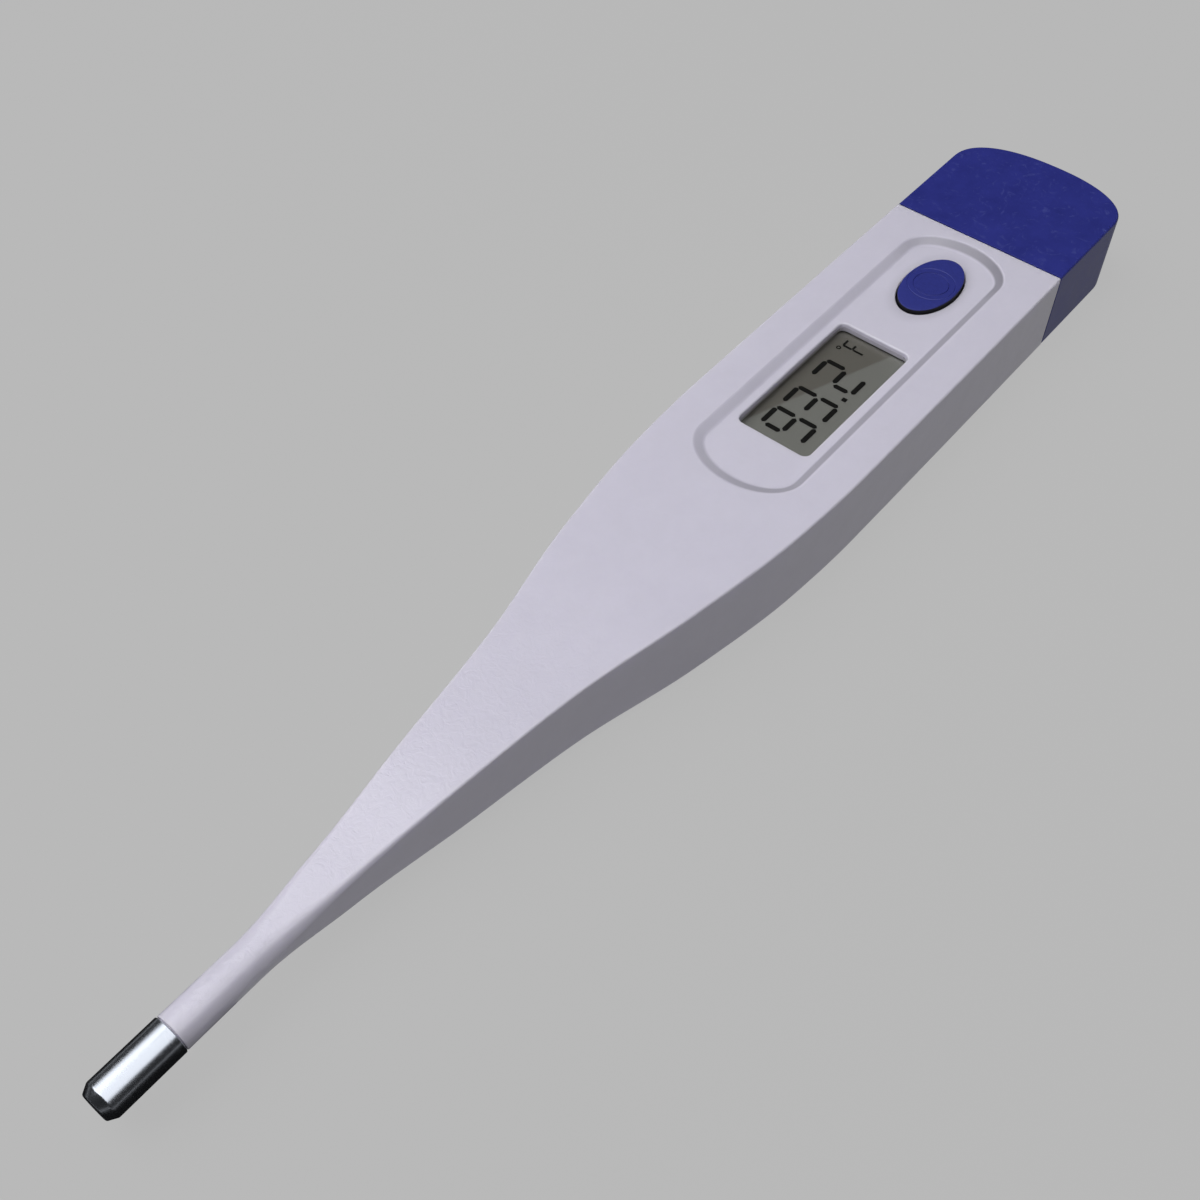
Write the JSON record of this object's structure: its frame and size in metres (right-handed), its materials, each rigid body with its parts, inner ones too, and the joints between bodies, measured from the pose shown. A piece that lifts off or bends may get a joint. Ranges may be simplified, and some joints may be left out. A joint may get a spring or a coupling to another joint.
{
  "type": "digital thermometer",
  "caption": "Rigid digital clinical thermometer with a steel tip, a display window, a push button and a pull-off battery cap.",
  "frame": {"origin": "middle of the thermometer's length and width, on the plane that its flat back rests on", "axes": "+X from the steel tip to the battery cap, +Z out of the display face, +Y completes the right-handed frame"},
  "size_m": [0.127, 0.0186, 0.0085],
  "materials": {
    "housing_abs": "moulded white ABS, satin gloss, very fine moulded grain",
    "cap_abs": "moulded deep blue ABS, satin",
    "button_rubber": "deep blue silicone rubber, matt",
    "tip_steel": "polished drawn stainless steel",
    "lens_acrylic": "clear cast acrylic, polished",
    "polariser_film": "grey polarising film, anti-glare",
    "display_glass": "thin float glass",
    "reflector_film": "grey-green reflective film, fine speckle",
    "frame_abs": "moulded white ABS",
    "zebra_elastomer": "pink silicone with black conducting layers",
    "board_laminate": "green solder-masked glass laminate",
    "chip_resin": "black potting resin",
    "resistor_ceramic": "ceramic chip with tinned ends",
    "capacitor_ceramic": "ceramic chip with tinned ends",
    "dome_steel": "sprung stainless sheet",
    "buzzer_brass": "rolled brass sheet",
    "buzzer_ceramic": "fired piezo ceramic with a silvered face",
    "copper_wire": "enamelled copper wire",
    "battery_can": "nickel-plated steel can",
    "holder_abs": "moulded white ABS",
    "nickel_plate": "nickel-plated spring strip",
    "seal_rubber": "black silicone ring",
    "bead_glass": "glass-coated sensing bead",
    "potting_resin": "heat-conducting epoxy resin"
  },
  "bodies": {
    "root": {"housing": "housing_abs", "sensor_tip": "tip_steel", "window_lens": "lens_acrylic", "lcd_front_polariser": "polariser_film", "lcd_front_glass": "display_glass", "lcd_rear_glass": "display_glass", "lcd_rear_reflector": "reflector_film", "lcd_frame": "frame_abs", "zebra_strip": "zebra_elastomer", "circuit_board": "board_laminate", "chip_blob": "chip_resin", "reference_resistor": "resistor_ceramic", "oscillator_resistor": "resistor_ceramic", "supply_capacitor": "capacitor_ceramic", "switch_dome": "dome_steel", "buzzer_plate": "buzzer_brass", "buzzer_ceramic": "buzzer_ceramic", "buzzer_lead_1": "copper_wire", "buzzer_lead_2": "copper_wire", "battery": "battery_can", "battery_holder": "holder_abs", "battery_contact_positive": "nickel_plate", "battery_contact_negative": "nickel_plate", "cap_seal": "seal_rubber", "thermistor": "bead_glass", "tip_potting": "potting_resin", "lead_wire_1": "copper_wire", "lead_wire_2": "copper_wire"},
    "cap": {"cap": "cap_abs"},
    "button": {"button": "button_rubber"}
  },
  "joints": [
    {"name": "cap_pull", "type": "slide", "parent": "root", "child": "cap", "axis": [1, 0, 0], "range_m": [0, 0.02]},
    {"name": "button_press", "type": "slide", "parent": "root", "child": "button", "axis": [0, 0, -1], "range_m": [0, 0.0004], "stiffness_N_per_m": 3000, "deforming": ["switch_dome"]}
  ]
}
